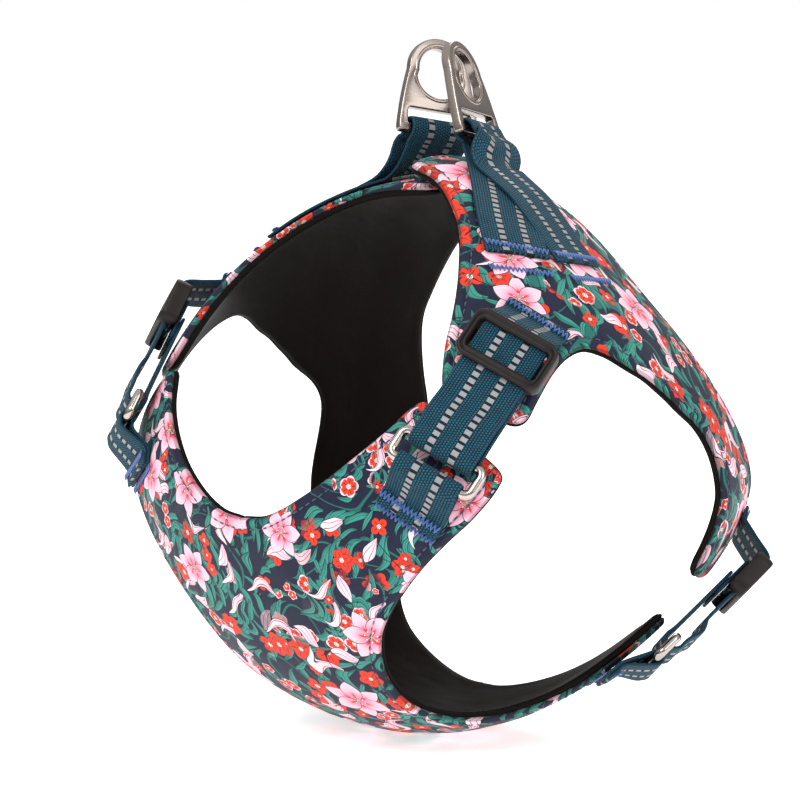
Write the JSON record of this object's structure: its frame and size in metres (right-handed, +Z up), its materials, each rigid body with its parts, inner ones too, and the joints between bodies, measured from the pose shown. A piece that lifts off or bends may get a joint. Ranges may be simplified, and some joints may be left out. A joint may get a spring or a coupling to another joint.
{
  "type": "no pull dog harness",
  "caption": "Padded vest-style dog harness with floral cloth panels, webbing adjusters at neck and girth, and flat leash rings that stand up from webbing loops on the back.",
  "frame": {"origin": "centre of the bounding box's bottom face, under the belly panel", "axes": "+Z up through the dog's back, -Y towards the dog's nose, +X towards the dog's left"},
  "size_m": [0.2206, 0.1828, 0.2582],
  "materials": {
    "printed_cloth": "woven polyester, satin",
    "foam_padding": "soft open-cell foam",
    "lining_cloth": "smooth lining, slight sheen",
    "hook_tape": "hook tape, matte",
    "loop_tape": "brushed loop tape",
    "webbing": "woven nylon webbing with reflective stitches",
    "leash_ring_metal": "polished nickel plate",
    "oval_ring_metal": "polished nickel plate",
    "slider_plastic": "moulded, fine grain",
    "tack_thread": "dense zigzag thread"
  },
  "bodies": {
    "sewn_harness": {"chest_print": "printed_cloth", "chest_padding": "foam_padding", "chest_lining": "lining_cloth", "left_saddle_print": "printed_cloth", "left_saddle_padding": "foam_padding", "left_saddle_lining": "lining_cloth", "right_saddle_print": "printed_cloth", "right_saddle_padding": "foam_padding", "right_saddle_lining": "lining_cloth", "hook_tape": "hook_tape", "loop_tape": "loop_tape", "left_lead_webbing": "webbing", "right_lead_webbing": "webbing", "left_neck_anchor": "webbing", "right_neck_anchor": "webbing", "left_girth_anchor": "webbing", "right_girth_anchor": "webbing", "left_neck_strap": "webbing", "right_neck_strap": "webbing", "left_girth_strap": "webbing", "right_girth_strap": "webbing", "chest_bar_tacks": "tack_thread", "left_saddle_bar_tacks": "tack_thread", "right_saddle_bar_tacks": "tack_thread"},
    "left_neck_adjuster": {"left_neck_slider": "slider_plastic", "left_neck_strap_end": "webbing"},
    "left_neck_oval_ring": {"left_neck_ring": "oval_ring_metal"},
    "left_girth_adjuster": {"left_girth_slider": "slider_plastic", "left_girth_strap_end": "webbing"},
    "left_girth_oval_ring": {"left_girth_ring": "oval_ring_metal"},
    "left_leash_ring_body": {"left_leash_ring": "leash_ring_metal"},
    "right_neck_adjuster": {"right_neck_slider": "slider_plastic", "right_neck_strap_end": "webbing"},
    "right_neck_oval_ring": {"right_neck_ring": "oval_ring_metal"},
    "right_girth_adjuster": {"right_girth_slider": "slider_plastic", "right_girth_strap_end": "webbing"},
    "right_girth_oval_ring": {"right_girth_ring": "oval_ring_metal"},
    "right_leash_ring_body": {"right_leash_ring": "leash_ring_metal"}
  },
  "joints": [
    {"name": "left_neck_slider_travel", "type": "slide", "parent": "sewn_harness", "child": "left_neck_adjuster", "axis": [-0.1197, -0.6305, -0.7669], "range_m": [0, 0.012]},
    {"name": "left_neck_ring_rock", "type": "hinge", "parent": "sewn_harness", "child": "left_neck_oval_ring", "pos_m": [0.08163, -0.078, 0.11323], "axis": [-0.7996, -0.3966, 0.4509], "range_deg": [-5, 5]},
    {"name": "left_girth_slider_travel", "type": "slide", "parent": "sewn_harness", "child": "left_girth_adjuster", "axis": [-0.2115, -0.7735, -0.5975], "range_m": [0, 0.012]},
    {"name": "left_girth_ring_rock", "type": "hinge", "parent": "sewn_harness", "child": "left_girth_oval_ring", "pos_m": [0.08208, 0.03596, 0.03098], "axis": [0.7333, -0.5298, 0.4262], "range_deg": [-5, 5]},
    {"name": "right_neck_slider_travel", "type": "slide", "parent": "sewn_harness", "child": "right_neck_adjuster", "axis": [0.1197, -0.6305, -0.7669], "range_m": [0, 0.012]},
    {"name": "right_neck_ring_rock", "type": "hinge", "parent": "sewn_harness", "child": "right_neck_oval_ring", "pos_m": [-0.08163, -0.078, 0.11323], "axis": [-0.7996, 0.3966, -0.4509], "range_deg": [-5, 5]},
    {"name": "right_girth_slider_travel", "type": "slide", "parent": "sewn_harness", "child": "right_girth_adjuster", "axis": [0.2115, -0.7735, -0.5975], "range_m": [0, 0.012]},
    {"name": "right_girth_ring_rock", "type": "hinge", "parent": "sewn_harness", "child": "right_girth_oval_ring", "pos_m": [-0.08208, 0.03596, 0.03098], "axis": [0.7333, 0.5298, -0.4262], "range_deg": [-5, 5]},
    {"name": "left_leash_ring_swing", "type": "hinge", "parent": "sewn_harness", "child": "left_leash_ring_body", "pos_m": [0.0107, 0.0187, 0.2234], "axis": [-0.2945, 0.9423, -0.159], "range_deg": [-4, 75]},
    {"name": "right_leash_ring_swing", "type": "hinge", "parent": "sewn_harness", "child": "right_leash_ring_body", "pos_m": [-0.0107, 0.0187, 0.2234], "axis": [-0.2945, -0.9423, 0.159], "range_deg": [-12, 45]}
  ]
}
